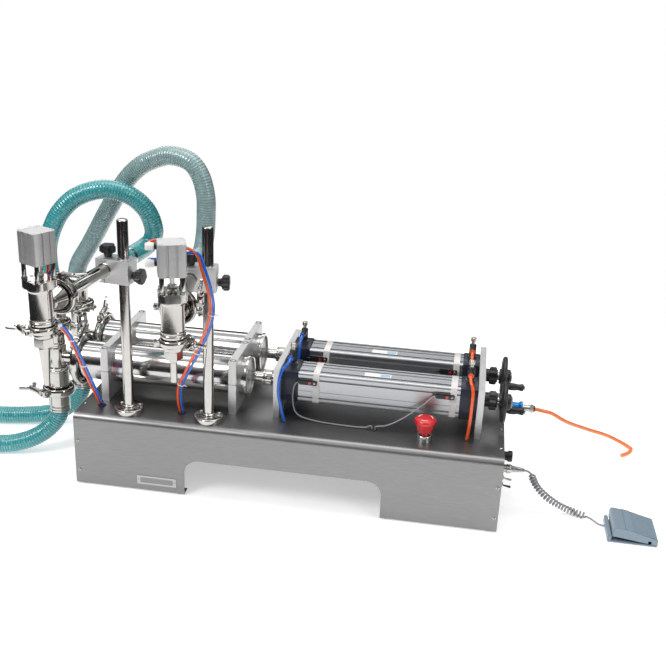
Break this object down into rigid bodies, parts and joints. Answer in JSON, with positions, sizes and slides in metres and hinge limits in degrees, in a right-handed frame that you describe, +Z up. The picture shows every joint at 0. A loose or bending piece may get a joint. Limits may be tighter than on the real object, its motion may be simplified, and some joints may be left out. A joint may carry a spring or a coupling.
{
  "type": "piston liquid filler",
  "caption": "Bench-top pneumatic piston filler: filling cylinders driven by in-line air cylinders on a long steel base, nozzles on poles, hoses and a foot pedal.",
  "frame": {"origin": "on the bench, under the middle of the whole machine with its nozzles and pedal; the base's own middle is 67 mm to -X and 104 mm to +Y of it", "axes": "+X along the base from the product valves towards the air cylinders, +Y to the back, +Z up"},
  "size_m": [1.6633, 0.6462, 0.6252],
  "materials": {
    "brushed": "brushed stainless sheet",
    "polished": "polished stainless",
    "bright": "plated steel",
    "alloy": "satin anodised",
    "cap_paint": "semi-gloss",
    "plastic": "moulded black",
    "rubber": "matte",
    "ptfe": "smooth white",
    "stop_red": "gloss red",
    "blue_anodised": "anodised blue",
    "pedal_paint": "textured enamel",
    "hose": "clear tinted hose with a wire spiral",
    "orange_tube": "polyurethane tube",
    "cord": "grey jacket"
  },
  "bodies": {
    "machine": {"base_cover": "brushed", "end_panels": "brushed", "rubber_feet": "rubber", "nameplate_and_screws": "bright", "valve_bank": "plastic", "clamp_plates_lower": "alloy", "clamp_plates_upper": "alloy", "fill_tubes": "polished", "valve_tees": "polished", "check_valves": "polished", "hose_tails": "polished", "pipe_clamps": "polished", "air_plates": "alloy", "air_barrels": "alloy", "air_caps": "cap_paint", "speed_valves": "plastic", "reed_sensors": "plastic", "poles": "polished", "panel_fittings": "bright", "pedal_base": "pedal_paint", "hose_outlet_left": "hose", "hose_outlet_right": "hose", "hose_inlet_front": "hose", "hose_inlet_rear": "hose", "supply_tube": "orange_tube", "pedal_cord_curl": "cord", "pedal_cord_leads": "cord", "nozzle_tubes_left": "orange_tube", "nozzle_tubes_right": "orange_tube", "air_tubes": "orange_tube"},
    "piston_front": {"fill_piston_front": "ptfe", "piston_rod_front": "bright"},
    "piston_rear": {"fill_piston_rear": "ptfe", "piston_rod_rear": "bright"},
    "wheel_front": {"handwheel_front": "plastic"},
    "wheel_rear": {"handwheel_rear": "plastic"},
    "crank_front": {"crank_handle_front": "plastic"},
    "crank_rear": {"crank_handle_rear": "plastic"},
    "stand_left": {"cross_clamp_left": "alloy", "arm_left": "polished", "nozzle_body_left": "polished", "nozzle_cylinder_left": "alloy", "nozzle_spout_left": "polished"},
    "stem_left": {"nozzle_stem_left": "bright"},
    "pole_knob_left": {"pole_knob_left": "plastic"},
    "arm_knob_left": {"arm_knob_left": "plastic"},
    "stand_right": {"cross_clamp_right": "alloy", "arm_right": "polished", "nozzle_body_right": "polished", "nozzle_cylinder_right": "alloy", "nozzle_spout_right": "polished"},
    "stem_right": {"nozzle_stem_right": "bright"},
    "pole_knob_right": {"pole_knob_right": "plastic"},
    "arm_knob_right": {"arm_knob_right": "plastic"},
    "estop": {"estop_button": "stop_red"},
    "regulator": {"regulator_knob": "plastic"},
    "toggle_upper": {"toggle_front": "bright"},
    "toggle_lower": {"toggle_rear": "bright"},
    "inlet_sleeve": {"slide_sleeve": "blue_anodised"},
    "treadle": {"pedal_treadle": "pedal_paint"}
  },
  "joints": [
    {"name": "piston_stroke_front", "type": "slide", "parent": "machine", "child": "piston_front", "axis": [-1, 0, 0], "range_m": [0, 0.24]},
    {"name": "piston_stroke_rear", "type": "slide", "parent": "machine", "child": "piston_rear", "axis": [-1, 0, 0], "range_m": [0, 0.24]},
    {"name": "wheel_turn_front", "type": "hinge", "parent": "machine", "child": "wheel_front", "pos_m": [0.293, 0.074, 0.208], "axis": [1, 0, 0], "continuous": true},
    {"name": "crank_spin_front", "type": "hinge", "parent": "wheel_front", "child": "crank_front", "pos_m": [0.343, 0.087, 0.18548], "axis": [1, 0, 0], "continuous": true},
    {"name": "wheel_turn_rear", "type": "hinge", "parent": "machine", "child": "wheel_rear", "pos_m": [0.293, 0.191, 0.208], "axis": [1, 0, 0], "continuous": true},
    {"name": "crank_spin_rear", "type": "hinge", "parent": "wheel_rear", "child": "crank_rear", "pos_m": [0.343, 0.16657, 0.19911], "axis": [1, 0, 0], "continuous": true},
    {"name": "height_left", "type": "slide", "parent": "machine", "child": "stand_left", "axis": [0, 0, 1], "range_m": [-0.06, 0.05], "deforming": ["hose_outlet_left", "nozzle_tubes_left"]},
    {"name": "valve_lift_left", "type": "slide", "parent": "stand_left", "child": "stem_left", "axis": [0, 0, 1], "range_m": [0, 0.012]},
    {"name": "pole_knob_turn_left", "type": "hinge", "parent": "stand_left", "child": "pole_knob_left", "pos_m": [-0.35315, -0.01128, 0.418], "axis": [0.991, -0.134, 0], "range_deg": [-360, 360]},
    {"name": "arm_knob_turn_left", "type": "hinge", "parent": "stand_left", "child": "arm_knob_left", "pos_m": [-0.39973, -0.00498, 0.448], "axis": [0, 0, 1], "range_deg": [-360, 360]},
    {"name": "height_right", "type": "slide", "parent": "machine", "child": "stand_right", "axis": [0, 0, 1], "range_m": [-0.06, 0.05], "deforming": ["hose_outlet_right", "nozzle_tubes_right"]},
    {"name": "valve_lift_right", "type": "slide", "parent": "stand_right", "child": "stem_right", "axis": [0, 0, 1], "range_m": [0, 0.012]},
    {"name": "pole_knob_turn_right", "type": "hinge", "parent": "stand_right", "child": "pole_knob_right", "pos_m": [-0.19821, -0.00634, 0.418], "axis": [0.9877, 0.1564, 0], "range_deg": [-360, 360]},
    {"name": "arm_knob_turn_right", "type": "hinge", "parent": "stand_right", "child": "arm_knob_right", "pos_m": [-0.24463, -0.01369, 0.448], "axis": [0, 0, 1], "range_deg": [-360, 360]},
    {"name": "stop_press", "type": "slide", "parent": "machine", "child": "estop", "axis": [0, 0, -1], "range_m": [0, 0.004], "stiffness_N_per_m": 400, "springref_m": -0.003},
    {"name": "regulator_turn", "type": "hinge", "parent": "machine", "child": "regulator", "pos_m": [0.3363, 0.044, 0.112], "axis": [1, 0, 0], "range_deg": [-540, 540]},
    {"name": "toggle_throw_upper", "type": "hinge", "parent": "machine", "child": "toggle_upper", "pos_m": [0.334, 0.044, 0.066], "axis": [0, -1, 0], "range_deg": [0, 20]},
    {"name": "toggle_throw_lower", "type": "hinge", "parent": "machine", "child": "toggle_lower", "pos_m": [0.334, 0.044, 0.051], "axis": [0, -1, 0], "range_deg": [0, 20]},
    {"name": "sleeve_slide", "type": "slide", "parent": "machine", "child": "inlet_sleeve", "axis": [1, 0, 0], "range_m": [0, 0.012]},
    {"name": "treadle_press", "type": "hinge", "parent": "machine", "child": "treadle", "pos_m": [0.605, 0.0055, 0.0085], "axis": [0, -1, 0], "range_deg": [0, 6], "stiffness_Nm_per_rad": 1.6, "springref_deg": -17.19}
  ]
}
